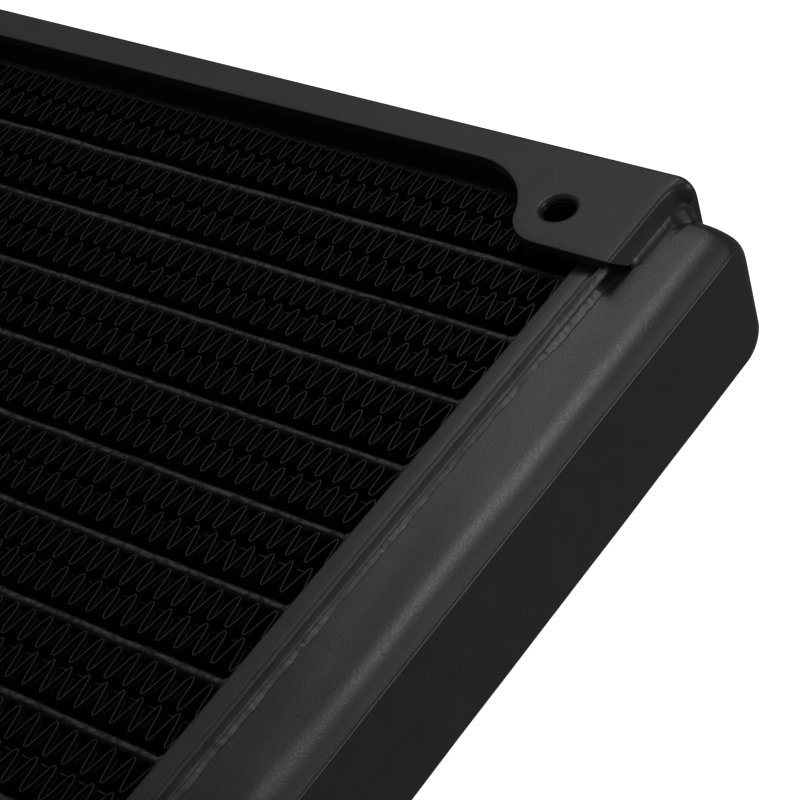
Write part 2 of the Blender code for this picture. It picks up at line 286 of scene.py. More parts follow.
finLook = {
    "dark": (0.0035, 0.0035, 0.0036),
    "edge": (0.020, 0.020, 0.0205),
    "paintedHighlightRange": (0.5, 0.9),  # how upright a surface's normal is where the painted highlight starts and ends
    "grain": 2500.0,
    "roughness": (0.36, 0.5),
    "gloss": 0.5,
}
# tube coat: a painted highlight along the tube crowns, where the normal is nearly upright; the sides stay near
# black
tubeLook = {
    "dark": (0.0012, 0.0012, 0.0012),
    "edge": (0.075, 0.075, 0.077),
    "paintedHighlightRange": (0.96, 0.998),
    "grain": 1600.0,
    "roughness": (0.25, 0.5),
    "gloss": 0.22,
}


def paintedHighlightCoat(name, look):
    # thin satin paint with a painted highlight: faces whose normals point up or down take the lighter edge
    # colour, speckled by the grain, against near-black sides
    material = bpy.data.materials.new(name)
    tree, shader = nodesOf(material)
    geometry = tree.nodes.new("ShaderNodeNewGeometry")
    split = tree.nodes.new("ShaderNodeSeparateXYZ")
    tree.links.new(geometry.outputs["Normal"], split.inputs["Vector"])
    size = tree.nodes.new("ShaderNodeMath")
    size.operation = "ABSOLUTE"
    tree.links.new(split.outputs["Z"], size.inputs[0])
    # painted highlight mask: 0 on sideways faces, 1 on faces whose normal points straight up or down
    edge = ranged(tree, size.outputs["Value"], *look["paintedHighlightRange"], 0.0, 1.0)
    grain = noise(tree, look["grain"])
    highlightSpeckle = blended(tree, ranged(tree, grain, 0.35, 0.6, 0.0, 1.0), look["dark"], look["edge"])
    tree.links.new(blended(tree, edge, look["dark"], highlightSpeckle), shader.inputs["Base Color"])
    smooth, rough = look["roughness"]
    tree.links.new(ranged(tree, grain, 0.3, 0.7, rough, smooth), shader.inputs["Roughness"])
    shader.inputs["Specular IOR Level"].default_value = look["gloss"]
    bumped(tree, shader, grain, 0.000004)
    return material


finPaint = paintedHighlightCoat("satin_fin_paint", finLook)
tubeCoat = paintedHighlightCoat("tube_coat_painted_highlight", tubeLook)


def bareBrass(name):
    # dull brass, browned in patches
    material = bpy.data.materials.new(name)
    tree, shader = nodesOf(material)
    patches = noise(tree, 180.0, 4.0)
    browned = ranged(tree, patches, 0.4, 0.65, 0.0, 1.0)
    colour = blended(tree, browned, (0.60, 0.43, 0.18), (0.42, 0.27, 0.12))
    tree.links.new(colour, shader.inputs["Base Color"])
    shader.inputs["Metallic"].default_value = 1.0
    tree.links.new(ranged(tree, noise(tree, 1500.0), 0.3, 0.7, 0.28, 0.45), shader.inputs["Roughness"])
    return material


brass = bareBrass("dull_brass")
print("finishes made")


# ---- fins: one folded ribbon for each strip

fins = {
    "foil": 0.08,
    "slatFoil": 0.06,
    "steps": 12,              # points along each fold
    "pitch": 2.02,            # one fold's length
    "pitchSpread": 0.06,
    "roundness": (0.0, 0.075),
    "slatDepth": (0.35, 1.5), # the first louvre slat's edges, below the strip's edge
    "slatShift": (0.26, -0.02),
    "slatReach": 0.62,        # half its length, as a share of a quarter fold
    "divider": 0.12,
    "dividerDrop": 1.2,
    "endGap": 0.15,           # between a ribbon's end and the end of its space
}


def finStrip(number, letter):
    # centre line: y = half height * sin(f), x = pitch * f / 2 pi - roundness * sin(2 f), with slow seeded
    # changes of pitch, roundness and height, given a thickness along its normal and drawn through the depth
    name = f"fin_strip_{number:02d}{letter}"
    low, high = span(name)
    seed = number * 10 + (letter == "b")
    dice = np.random.default_rng(seed)
    middle, tube = gapCentre(number), tubeSpace / 2
    sign = -1 if letter == "a" else 1
    inner = fins["divider"] / 2
    half = (tube - inner - fins["foil"]) / 2
    centre = middle + sign * (inner + tube) / 2
    pitch = fins["pitch"] * (1 + dice.uniform(-1, 1) * fins["pitchSpread"])
    folds = int(round((high[0] - low[0] - 2 * fins["endGap"]) / pitch))
    fold = np.linspace(0, 2 * math.pi * folds, folds * fins["steps"] + 1)
    run = fold / (2 * math.pi) * (high[0] - low[0] - 2 * fins["endGap"]) / folds
    bend = dice.uniform(*fins["roundness"]) + 0.02 * wander(run, seed + 500, 0.02, 0.2)
    lean = dice.uniform(-0.08, 0.08) + 0.03 * wander(run, seed + 700, 0.02, 0.25)
    start = dice.uniform(0, 2 * math.pi)
    swing = np.sin(fold + start)
    height = half * (1 - 0.03 * np.abs(wander(run, seed + 900, 0.05, 0.4)))
    x = low[0] + fins["endGap"] + run - bend * np.sin(2 * (fold + start)) + lean * swing
    x = x + 0.10 * wander(run, seed + 300, 0.03, 0.3) * np.sin(math.pi * run / run[-1])
    x = np.clip(x, low[0], high[0])
    y = centre + height * swing
    dx, dy = np.gradient(x), np.gradient(y)
    size = np.hypot(dx, dy)
    normal = np.stack([-dy / size, dx / size], -1) * fins["foil"] / 2
    line = np.stack([x, y], -1)
    line[:, 0] = np.clip(line[:, 0], low[0] + 0.05, high[0] - 0.05)
    lines = [line + normal, line + normal, line - normal, line - normal]
    heights = [high[2], low[2], low[2], high[2]]
    grid = np.stack([np.concatenate([flat, np.full((len(flat), 1), z)], 1)
                     for flat, z in zip(lines, heights)], 1)
    faces = gridFaces(len(line), 4, True)
    last = 4 * len(line) - 1
    ends = np.array([[0, 1, 2, 3], [last, last - 1, last - 2, last - 3]])
    parts = [(grid, np.concatenate([faces, ends]))]
    # first louvre slat of every wall, above and below: four stations on the wall, shifted and tilted
    walls = np.arange(1, 2 * folds - 1)
    crossing = (walls * math.pi - start) % (2 * math.pi * folds)
    at = np.linspace(-1, 1, 4) * fins["slatReach"]
    where = crossing[:, None] + at[None, :]
    sx, sy = np.interp(where, fold, line[:, 0]), np.interp(where, fold, line[:, 1])
    for level, into in ((high[2], -1), (low[2], 1)):
        corners = []
        for depth, shift in zip(fins["slatDepth"], fins["slatShift"]):
            for thick in (-0.5, 0.5):
                px = sx + shift + thick * fins["slatFoil"]
                corners.append(np.stack([px, sy, np.full_like(px, level + into * depth)], -1))
        order = [corners[0], corners[1], corners[3], corners[2]]
        block = np.stack(order, 2)                      # walls, stations, 4 corners, xyz
        one = gridFaces(4, 4, True)
        caps = np.array([[0, 1, 2, 3], [12, 13, 14, 15]])
        faces = np.concatenate([one, caps])
        many = (faces[None] + 16 * np.arange(len(walls))[:, None, None]).reshape(-1, 4)
        parts.append((block, many))
    points, quads = joined(parts)
    return addPiece(name + "_folds", points, quads, finPaint, "coated_copper", [name], 30)


tubeCount = 12
tubePitch = span("flat_tube_02")[0][1] - tubeLow[1]
tubeThick = tubeHigh[1] - tubeLow[1]
tubeSpace = tubePitch - tubeThick


def gapCentre(number):
    # middle of the space that holds a pair of strips, counted from the left rail
    return (number - 1 - tubeCount / 2) * tubePitch


for number in range(1, tubeCount + 2):
    finStrip(number, "a")
    finStrip(number, "b")
    low, high = span(f"fin_strip_{number:02d}a")
    halfWide = fins["divider"] / 2
    ends = np.array([low[0], high[0]])
    tall = (low[2] + fins["dividerDrop"], high[2] - fins["dividerDrop"])
    skins = [np.stack([np.stack([ends, np.full(2, gapCentre(number) + side * halfWide), np.full(2, z)], -1)
                       for z in tall], 1) for side in (-1, 1)]
    addPiece(f"fin_divider_{number:02d}", *wall(*skins), finPaint, "coated_copper")
print("fins folded")


# ---- flat tubes with a faint seam along each rounded edge

tubes = {
    "stations": 110,
    "waviness": 0.045,
    "seam": 0.05,
    "wall": 0.35,
}


def flatTube(number):
    # outline: two half circles and two flats; a shallow seam runs along the half circles' crowns and
    # the whole outline drifts slowly in Y and Z along the length
    low, high = span(f"flat_tube_{number:02d}")
    x = np.linspace(low[0], high[0], tubes["stations"])
    radius, half = (high[1] - low[1]) / 2, (high[2] - low[2]) / 2
    middle = (low[1] + high[1]) / 2

    def skin(inset):
        angle = np.linspace(-math.pi / 2, math.pi / 2, 11)
        side = np.sin(angle) * (radius - inset)
        crown = np.cos(angle) * (radius - inset)
        seam = np.exp(-(side / 0.13) ** 2) * (inset == 0)
        depth = tubes["seam"] * np.clip(0.6 + wander(x, number + 40, 0.02, 0.12), 0, 1.4)
        rise = half - radius + crown[None, :] - depth[:, None] * seam[None, :]
        y = np.concatenate([side, side[::-1]])
        z = np.concatenate([rise, -rise[:, ::-1]], 1)
        drift = tubes["waviness"] * wander(x, number, 0.02, 0.22)[:, None]
        fade = np.sin(math.pi * np.arange(len(x)) / (len(x) - 1))[:, None] ** 0.3
        lift = 0.4 * np.sign(z) * (drift - tubes["waviness"]) * fade
        y = middle + y[None, :] + drift * fade
        return np.stack(np.broadcast_arrays(x[:, None], y, midZ + z + lift), -1)

    points, faces = wall(skin(0), skin(tubes["wall"]), True)
    addPiece(f"coolant_tube_{number:02d}", points, faces, tubeCoat, "coated_brass",
             [f"flat_tube_{number:02d}"], 50)


for number in range(1, tubeCount + 1):
    flatTube(number)
print("tubes drawn")


# ---- header trays

tray = {
    "sheet": 0.6,
    "plate": 0.9,
    "bend": 0.32,
    "corner": 1.6,
    "grooveAt": 0.38,         # groove's middle, back from the rim
    "grooveDepth": 0.17,
    "lipRise": 0.05,
    "slotMargin": 0.25,       # clearance round each tube
    "slotReach": (1.0, 2.0),  # how far a slot's cutter stands out on the core's and the tank's side
}


def headerTray(name, side):
    # profile of (distance from the core side, inset from the flange's outer face), carried round the outline
    low, high = span(name)
    deep = high[0] - low[0]
    face = low[0] if side > 0 else high[0]
    halfY, halfZ = (high[1] - low[1]) / 2, (high[2] - low[2]) / 2
    rim, bend, sheet = deep, tray["bend"], tray["sheet"]
    arc = np.radians(np.linspace(0, 90, 6))
    groove, valley, lip = rim - tray["grooveAt"], tray["grooveDepth"], tray["lipRise"]
    profile = [(bend * (1 - math.sin(a)), bend * (1 - math.cos(a))) for a in arc[::-1]]
    profile += [(groove - 0.9, 0.0), (groove - 0.20, 0.0), (groove - 0.16, 0.01),
                (groove - 0.06, 0.9 * valley), (groove, valley), (groove + 0.06, 0.12),
                (groove + 0.11, 0.01), (groove + 0.15, -0.8 * lip), (groove + 0.22, -lip),
                (groove + 0.29, -0.7 * lip), (groove + 0.35, 0.02), (rim, 0.12),
                (rim, sheet - 0.05), (rim - 0.05, sheet), (tray["plate"] + 0.2, sheet),
                (tray["plate"], sheet + 0.2)]
    distance, inset = np.array(profile).T
    spine = halfZ - 0.001
    distance = np.concatenate([[0, 0], distance, [tray["plate"]] * 2])
    inset = np.concatenate([[spine, 4.0], inset, [4.0, spine]])
    radius = np.maximum(tray["corner"] - np.clip(inset, -0.1, 1.0) * 0.8, 0.02)
    radius = np.minimum(radius, halfZ - inset)
    x = face + side * distance
    grid = rings(x, halfY - inset, halfZ - inset, radius, 90, 7, 12)[0]
    edge = (distance > groove - 0.3) & (inset < 0.3)
    along = grid[..., 1] + 3 * grid[..., 2]
    wobble = 0.03 * wander(along[5], 77 + side, 0.05, 0.5)
    grid[edge, :, 0] += side * np.minimum(wobble, 0.02)
    faces = gridFaces(len(distance), grid.shape[1], True)
    item = addPiece(name + "_tray", grid.reshape(-1, 3), faces, brassCoat, "coated_brass", [name], 42)
    slots, thin = [], 0.001
    for number in range(1, tubeCount + 1):
        tube = span(f"flat_tube_{number:02d}")
        middle, halfT = (tube[0][1] + tube[1][1]) / 2, (tube[1][1] - tube[0][1]) / 2 + tray["slotMargin"]
        halfD = (tube[1][2] - tube[0][2]) / 2 + tray["slotMargin"]
        near, far = face - side * tray["slotReach"][0], face + side * tray["slotReach"][1]
        cut = rings(np.array([near, near, far, far]), np.array([thin, halfT, halfT, thin]),
                    np.array([halfD - halfT, halfD, halfD, halfD - halfT]),
                    np.array([thin, halfT - thin, halfT - thin, thin]), 1, 6, 1)[0]
        cut[..., 1] += middle
        slots.append((cut, gridFaces(4, cut.shape[1], True)))
    cutOut(item, *joined(slots), 42)


headerTray("return_header_plate", 1)
headerTray("port_header_plate", -1)
print("header trays pressed")


# ---- tanks

tank = {
    "wall": 1.0,
    "shoulder": 1.1,          # widening past the rails' ends
    "shoulderStart": 0.3,
    "shoulderRun": 0.6,
    "taper": 0.58,            # fall of the broad faces from the mouth to the crown
    "crownLength": 3.4,
    "crown": (9.0, 27.0),     # radius, and the tilt in degrees at which it meets the small one
    "crownEdge": 0.42,
    "planRound": 1.5,
    "corner": 1.8,
    "cornerGrowth": 0.8,
    "waviness": 0.035,
}


def tankSkin(side, mouth, end, halfY, halfZ, inset):
    # rings from the mouth to the end wall. In profile a face falls along a slope, a broad arc and a tight
    # arc: x = r (sin a - sin a0), fall = r (cos a0 - cos a). In plan the corners are quarter circles
    slope = tank["taper"] / (end - tank["crownLength"] - mouth)
    first, last = math.atan(slope), math.radians(tank["crown"][1])
    broad, tight = tank["crown"][0] - inset, tank["crownEdge"]
    wide, small = np.linspace(first, last, 12), np.linspace(last, math.pi / 2, 9)[1:]
    run, fall = broad * (np.sin(wide) - math.sin(first)), broad * (math.cos(first) - np.cos(wide))
    run = np.append(run, run[-1] + tight * (np.sin(small) - math.sin(last)))
    fall = np.append(fall, fall[-1] + tight * (math.cos(last) - np.cos(small)))
    endX = end - inset
    start = endX - run[-1]
    shoulderX = railEnd + tank["shoulderStart"]
    straight = np.concatenate([np.linspace(mouth, shoulderX - 0.1, 5),
                               shoulderX + np.linspace(0, 1, 7) * tank["shoulderRun"],
                               np.linspace(shoulderX + tank["shoulderRun"] + 0.2, start, 4)[:-1]])
    x = np.concatenate([straight, start + run])
    crown = np.concatenate([np.zeros(len(straight)), fall])
    step = np.clip((x - shoulderX) / tank["shoulderRun"], 0, 1)
    widen = tank["shoulder"] * step * step * (3 - 2 * step)
    corner = tank["planRound"]
    part = np.clip((x - endX + corner) / corner, 0, 1)
    sizeY = halfY + widen - inset - corner * (1 - np.sqrt(1 - part ** 2))
    sizeZ = halfZ - inset - slope * (np.minimum(x, start) - mouth) - crown
    radius = tank["corner"] - inset / 2 + tank["cornerGrowth"] * crown
    shrink = np.array([0.02, 0.25, 0.6, 0.999]) * sizeZ[-1]
    x = np.append(x, np.full(4, endX))
    sizeY, sizeZ = np.append(sizeY, sizeY[-1] - shrink), np.append(sizeZ, sizeZ[-1] - shrink)
    radius = np.minimum(np.append(radius, np.maximum(radius[-1] - shrink, 0.001)), sizeZ)
    grid, way = rings(centreX + side * x, sizeY, sizeZ, radius, 90, 9, 8)
    if inset == 0:
        # the drawn sheet is never quite flat: a slow seeded ripple along its normal, always inwards,
        # that dies out over the end wall
        ripple = (wander(grid[..., 1] + grid[..., 2], 5 + side, 0.01, 0.09)
                  + wander(grid[..., 0] * 2 + grid[..., 1] * 0.4, 9, 0.02, 0.1)) / 2
        fade = np.clip((x - mouth) / 4, 0, 1) * np.clip(sizeZ / sizeZ[-5], 0, 1) ** 4
        ripple = tank["waviness"] * np.minimum(ripple - 1, 0) * fade[:, None]
        grid[..., 1] += ripple * way[None, :, 0]
        grid[..., 2] += ripple * way[None, :, 1]
    return grid


def makeTank(name, side):
    low, high = span(name)
    far = (high[0] - centreX) if side > 0 else (centreX - low[0])
    near = (low[0] - centreX) if side > 0 else (centreX - high[0])
    halfZ = (high[2] - low[2]) / 2
    halfY = (high[1] - low[1]) / 2 - tank["shoulder"]
    outer = tankSkin(side, near, far, halfY, halfZ, 0.0)
    inner = tankSkin(side, near, far, halfY, halfZ, tank["wall"])
    grid = np.concatenate([outer[::-1], inner])
    faces = gridFaces(len(grid), grid.shape[1], True)
    return addPiece(name + "_shell", grid.reshape(-1, 3), faces, brassCoat, "coated_brass", [name], 50)


makeTank("return_tank", 1)
portTank = makeTank("port_tank", -1)
print("tanks drawn")


# ---- coolant ports

ports = {
    "clearance": 0.3,
    "thread": 1.337,          # G 1/4, 19 turns to the inch
    "threadDepth": 0.8,
    "mouth": 6.75,
    "spigotStep": 1.8,        # from the collar's outside in to the spigot
    "seat": 0.3,              # the collar's underside above the tank
}


def makePort(label):
    low, high = span(f"{label}_port_boss")
    centre = ((low[0] + high[0]) / 2, (low[1] + high[1]) / 2)
    outer = (high[0] - low[0]) / 2
    spigot, seat = outer - ports["spigotStep"], portTankTop + ports["seat"]
    top, bottom = high[2], low[2]
    threadRows = np.linspace(top - 1.0, bottom + 0.8, 52)
    profile = [(outer, seat + 0.15), (outer, top - 0.35), (outer - 0.1, top - 0.12), (outer - 0.3, top),
               (ports["mouth"] + 0.35, top), (ports["mouth"] + 0.1, top - 0.1), (ports["mouth"], top - 0.35),
               (ports["mouth"] - 0.15, top - 0.8)]
    marked = [0] * len(profile)
    profile += [(ports["mouth"] - 0.15, z) for z in threadRows]
    marked += [1] * len(threadRows)
    tail = [(ports["mouth"] - 0.2, bottom + 0.3), (ports["mouth"], bottom), (spigot - 0.2, bottom),
            (spigot, bottom + 0.2), (spigot, seat), (outer - 0.15, seat)]
    profile += tail
    marked += [0] * len(tail)
    points, faces = turned(profile, 96, centre, ports["thread"], ports["threadDepth"], marked)
    addPiece(f"{label}_port_collar", points, faces, portCoat, "port_brass", [f"{label}_port_boss"], 35)
    bore = spigot + ports["clearance"]
    drill = [(bore, midZ), (bore, topZ + 1), (0.001, topZ + 1), (0.001, midZ)]
    cutOut(portTank, *turned(drill, 96, centre), 50)
    # solder fillet where the collar sits on the tank
    angle = np.linspace(0, 2 * math.pi, 97)[:-1]
    grow = 0.55 + 0.12 * wander(angle * outer, len(label), 0.05, 0.4)
    s = np.linspace(0, 1, 7)
    fall = 0.7 * (1 - s) ** 2 + 0.3 * (1 - s)
    base = portTankTop - 0.45
    radii = outer - 0.02 + grow[None, :] * s[:, None]
    heights = base + (seat + 0.75 - base) * fall[:, None] * np.ones_like(angle)
    radii = np.concatenate([radii, np.full((1, 96), outer - 0.6)])
    heights = np.concatenate([heights, np.full((1, 96), base)])
    ringPoints = np.stack([centre[0] + radii * np.cos(angle), centre[1] + radii * np.sin(angle), heights], -1)
    addPiece(f"{label}_port_solder", ringPoints.reshape(-1, 3), gridFaces(len(radii), 96, True, True),
             solderCoat, "coated_brass", (), 50)


makePort("inlet")
makePort("outlet")
print("ports threaded")


# ---- side rails

rail = {
    "plate": 1.0,
    "web": 1.2,
    "bend": 0.47,
    "edge": 0.10,             # rounding of the sheared edges
    "flange": 4.05,
    "edgeMargin": 7.9,        # fan screw to the outer face
    "overhang": 9.75,         # fan screw to the end of the web
    "fanPitch": 120.0,        # centre to centre of the two fans
    "tabReach": 4.85,
    "tabCorner": 4.12,
    "tabHollow": 8.3,
    "tabSide": -0.265,        # corner's centre, past the screw towards the flange
    "lipStart": 1.7,          # the lip's crease, back from the web's end
    "lipRun": 0.9,
    "lipBend": 0.45,
    "lipDrop": 2.0,
    "lipCut": 2.1,            # slanting cut of the lip's free edge
    "webRound": 2.4,          # power of the oval that rounds the web's corners
    "lipBlend": 1.25,
    "holeRim": 2.12,
    "thread": 0.5,
    "threadDepth": 0.12,
    "collarDepth": 1.9,
}
screwX = railEnd - rail["overhang"]
innerScrewX = rail["fanPitch"] - screwX
railHalf = railHigh[1]


def tabEdge(at, direction):
    # inner edge from a tab's front to the flange: an arc, then a hollow arc that it meets smoothly
    front = rail["edgeMargin"] + rail["tabReach"]
    corner, hollow = rail["tabCorner"], rail["tabHollow"]
    cornerY, hollowY = front - corner, rail["flange"] + hollow
    meeting = math.asin((hollowY - cornerY) / (corner + hollow))
    hollowX = rail["tabSide"] + (corner + hollow) * math.cos(meeting)
    a = np.linspace(math.pi / 2, meeting, 16)
    b = np.linspace(meeting, math.pi / 2, 26)[1:]
    along = np.concatenate([rail["tabSide"] + corner * np.cos(a), hollowX - hollow * np.cos(b)])
    across = np.concatenate([cornerY + corner * np.sin(a), hollowY - hollow * np.sin(b)])
    return np.stack([at + direction * along, across], -1)


def railEdge():
    # the whole inner edge from end to end, as x and distance from the outer face, with inward normals
    front = rail["edgeMargin"] + rail["tabReach"]
    outerTab = tabEdge(screwX, -1)[::-1]
    innerTab = tabEdge(innerScrewX, 1)
    flat = np.linspace(innerTab[-1, 0], outerTab[0, 0], 16)[1:-1]
    middle = np.linspace(0, innerTab[0, 0], 8)[:-1]
    tip = np.linspace(outerTab[-1, 0], railEnd - rail["lipStart"], 8)[1:]
    half = np.concatenate([np.stack([middle, np.full(len(middle), front)], -1), innerTab,
                           np.stack([flat, np.full(len(flat), rail["flange"])], -1), outerTab,
                           np.stack([tip, np.full(len(tip), front)], -1)])
    full = np.concatenate([half[:0:-1] * (-1, 1), half])
    step = np.gradient(full, axis=0)
    normal = np.stack([step[:, 1], -step[:, 0]], -1) / np.hypot(step[:, 0], step[:, 1])[:, None]
    return full, normal


def lipShare(across):
    # 1 at the web, falling to 0 over the lip
    return np.exp(-(np.maximum(across - 0.5, 0) / rail["lipBlend"]) ** 2)


def webRun(drop):
    # oval: run = r (1 - (1 - drop / d)^p)^(1/p)
    power = rail["webRound"]
    return rail["lipStart"] * (1 - (1 - drop / rail["lipDrop"]) ** power) ** (1 / power)


def makeRail(name, side):
    # a channel: rows are stations along the inner edge, columns go over the top plate, the web and the
    # bottom plate. Past both creases the rows go down the lip, and round the web's corners in an oval
    edge, normal = railEdge()
    turn = np.radians(np.linspace(0, 66, 7))[1:]
    bend, drop = rail["lipBend"], rail["lipDrop"]
    part = np.array([0.12, 0.26, 0.42, 0.6, 0.8, 1.0])
    lipX, lipD = bend * np.sin(turn), bend * (1 - np.cos(turn))
    lipX = np.append(lipX, lipX[-1] + (rail["lipRun"] - lipX[-1]) * part)
    lipD = np.append(lipD, lipD[-1] + (drop - lipD[-1]) * part)
    rows = len(lipX)
    x = np.concatenate([np.full(rows, edge[0, 0]), edge[:, 0], np.full(rows, edge[-1, 0])])
    flat = np.zeros(len(edge))
    way = np.concatenate([np.full(rows, -1.0), flat, np.full(rows, 1.0)])
    leanX = np.concatenate([lipX[::-1], flat, lipX])[:, None]
    down = np.concatenate([lipD[::-1], flat, lipD])
    leanWeb = webRun(down)[:, None]
    inwards = np.concatenate([np.full(rows, edge[0, 1]), edge[:, 1], np.full(rows, edge[-1, 1])])
    inwards = inwards - rail["lipCut"] * down / drop
    normal = np.concatenate([np.tile(normal[0], (rows, 1)), normal, np.tile(normal[-1], (rows, 1))])

    def skin(under):
        # under 0: the outside; 1: the inside, a sheet's thickness further in
        plate = np.maximum(down, rail["plate"]) if under else down
        web = rail["web"] if under else 0.0
        radius = 0.05 if under else rail["bend"]
        turn = np.radians(np.linspace(0, 90, 5))
        lead, lift = rail["edge"] * (1 - np.cos(turn)), rail["edge"] * (1 - np.sin(turn))
        rimX = x[:, None] + normal[:, :1] * lead
        rimY = inwards[:, None] + normal[:, 1:] * lead
        rimZ = plate[:, None] + lift * (1 if not under else -1)
        part = 1 - (1 - np.linspace(0, 1, 17)[1:]) ** 1.5
        flatX = np.repeat(rimX[:, -1:], len(part), 1)
        flatY = rimY[:, -1:] + (web + radius - rimY[:, -1:]) * part
        flatZ = np.repeat(plate[:, None], len(part), 1)
        bend = np.radians(np.linspace(0, 90, 8))[1:]
        bendX = np.repeat(rimX[:, -1:], len(bend), 1)
        bendY = np.repeat((web + radius * (1 - np.sin(bend)))[None, :], len(x), 0)
        bendZ = plate[:, None] + radius * (1 - np.cos(bend))
        depth = np.concatenate([rimZ, flatZ, bendZ], 1)
        across = np.concatenate([rimY, flatY, bendY], 1)
        share = lipShare(across - web)
        run = np.concatenate([rimX, flatX, bendX], 1) + way[:, None] * (leanX * (1 - share) + leanWeb * share)
        if under:
            rise = (down[:, None] / drop) ** 4
            reach = railEnd - rail["lipStart"] - 0.2 + (rail["lipStart"] + 0.1) * share * rise
            run = np.clip(run, -reach, reach)
        upper = np.stack([centreX + run, side * (railHalf - across), topZ - depth], -1)
        lower = upper[:, ::-1].copy()
        lower[..., 2] = topZ - lower[..., 2]
        return np.concatenate([upper, lower], 1)

    points, faces = wall(skin(0), skin(1))
    item = addPiece(name + "_channel", points, faces, railCoat, "coated_steel", [name], 38)
    # screw holes, then a dimpled and threaded collar in each
    drills, dimples, sleeves = [], [], []
    rim, depth = rail["holeRim"], rail["collarDepth"]
    for at in (-screwX, -innerScrewX, innerScrewX, screwX):
        centre = (centreX + at, side * (railHalf - rail["edgeMargin"]))
        for face, into in ((topZ, -1), (0.0, 1)):
            deep, proud = face + into * 1.4, face - into * 0.4
            drills.append(turned([(rim, deep), (rim, proud), (0.001, proud), (0.001, deep)], 64, centre))
            shape = [(rim, 0.0), (2.02, 0.012), (1.92, 0.045), (1.82, 0.11), (1.74, 0.20), (1.68, 0.33),
                     (1.64, 0.5), (1.80, 0.62), (rim, 0.7)]
            dimples.append(turned([(r, face + into * z) for r, z in shape], 64, centre))
            threads = np.linspace(0.6, depth - 0.1, 19)
            shape = [(1.68, 0.49)] + [(1.63, z) for z in threads]
            shape += [(1.65, depth), (2.2, depth), (2.3, depth - 0.1), (2.3, 1.05), (1.80, 0.9), (1.75, 0.5)]
            marked = [0] + [1] * len(threads) + [0] * 6
            profile = [(r, face + into * z) for r, z in shape]
            sleeves.append(turned(profile, 64, centre, rail["thread"], rail["threadDepth"], marked))
    cutOut(item, *joined(drills), 38)
    return dimples, sleeves


for name, side in (("side_rail_left", -1), ("side_rail_right", 1)):
    dimples, sleeves = makeRail(name, side)
    addPiece(name + "_screw_dimples", *joined(dimples), railCoat, "coated_steel", (), 40)
    addPiece(name + "_screw_threads", *joined(sleeves), threadShadeCoat, "coated_steel", (), 40)
print("rails folded")


# ---- solder

solder = {
    "trayStart": 0.14,        # below the tray's flange
    "trayWidth": 0.80,
    "softFrom": 38.0,         # past this distance from the middle the fillet is wide and soft
    "softWidth": 0.45,
    "trayLumps": (0.004, 0.009),
    "trayPits": 9,
    "pitDepth": 0.07,
    "railWidth": 0.95,
    "railStart": 1.75,        # on the lip, below the fan face
    "railOverlap": 0.06,
    "railEndDrop": 2.74,
    "webStart": 0.85,
    "webEnd": 1.66,
    "railTail": 1.2,          # narrows over this length at both ends
    "railLumps": 0.008,
    "railPits": 3,
}


def pitted(along, dice, places, narrow, wide):
    # sum of narrow bell curves at seeded places
    pits = np.zeros_like(along)
    for place in places:
        pits += np.exp(-((along - place) / dice.uniform(narrow, wide)) ** 2) * dice.uniform(0.3, 1.0)
    return np.clip(pits, 0, 1)


def trayBead(name, side, tankName):
    # fillet between a header tray's rim and the tank's mouth, all the way round. Along its section s the
    # height falls as 0.74 max(0, 1 - s / 0.38)^1.6 + 0.26 (1 - s)
    low, high = span(tankName.replace("tank", "header_plate"))
    rim = abs((high[0] if side > 0 else low[0]) - centreX)
    mouth = span(tankName)
    halfYTray, halfZTray = (high[1] - low[1]) / 2, (high[2] - low[2]) / 2
    halfYTank = (mouth[1][1] - mouth[0][1]) / 2 - tank["shoulder"]
    halfZTank = (mouth[1][2] - mouth[0][2]) / 2 - 0.16
    s = np.concatenate([np.linspace(0, 0.4, 8), np.linspace(0.5, 1, 6), [1.0, -0.6]])
    fall = 0.74 * np.clip(1 - s / 0.38, 0, 1) ** 1.6 + 0.26 * (1 - s)
    fall[-2:] = -0.25
    halfY = halfYTank + (halfYTray - solder["trayStart"] - halfYTank) * fall
    halfZ = halfZTank + (halfZTray - solder["trayStart"] - halfZTank) * fall
    grid, way = rings(rim + s, halfY, halfZ, 1.7, 700, 16, 80)
    y, z = grid[5, :, 1], grid[5, :, 2]
    along = np.where(np.abs(way[:, 1]) > 0.7, y * side, 80 + z * 3)
    soft = 1 / (1 + np.exp((solder["softFrom"] - np.abs(y)) / 1.5))
    width = solder["trayWidth"] + solder["softWidth"] * soft + 0.07 * wander(along, 21 + side, 0.03, 0.25)
    width += 0.025 * wander(along, 23, 0.3, 0.9)
    calm, rough = solder["trayLumps"]
    lumps = wander(along, 31, 0.25, 1.1) * (calm + (rough - calm) * soft)
    dice = np.random.default_rng(61 + side)
    pits = pitted(along, dice, dice.uniform(-58, 58, solder["trayPits"]), 0.08, 0.18)
    grid[..., 0] = rim + np.where(s[:, None] > 0, s[:, None] * width[None, :], s[:, None])
    edge = np.clip(s, 0, 1)[:, None]
    rise = lumps[None, :] * np.sin(math.pi * edge) * 2 - solder["pitDepth"] * pits * np.sin(math.pi * edge)
    grid[..., 1] += rise * way[None, :, 0]
    grid[..., 2] += rise * way[None, :, 1]
    grid[..., 0] = centreX + side * grid[..., 0]
    addPiece(name, grid.reshape(-1, 3), gridFaces(len(s), grid.shape[1], True, True), solderCoat,
             "coated_brass", (), 60)


trayBead("return_tray_solder", 1, "return_tank")
trayBead("port_tray_solder", -1, "port_tank")


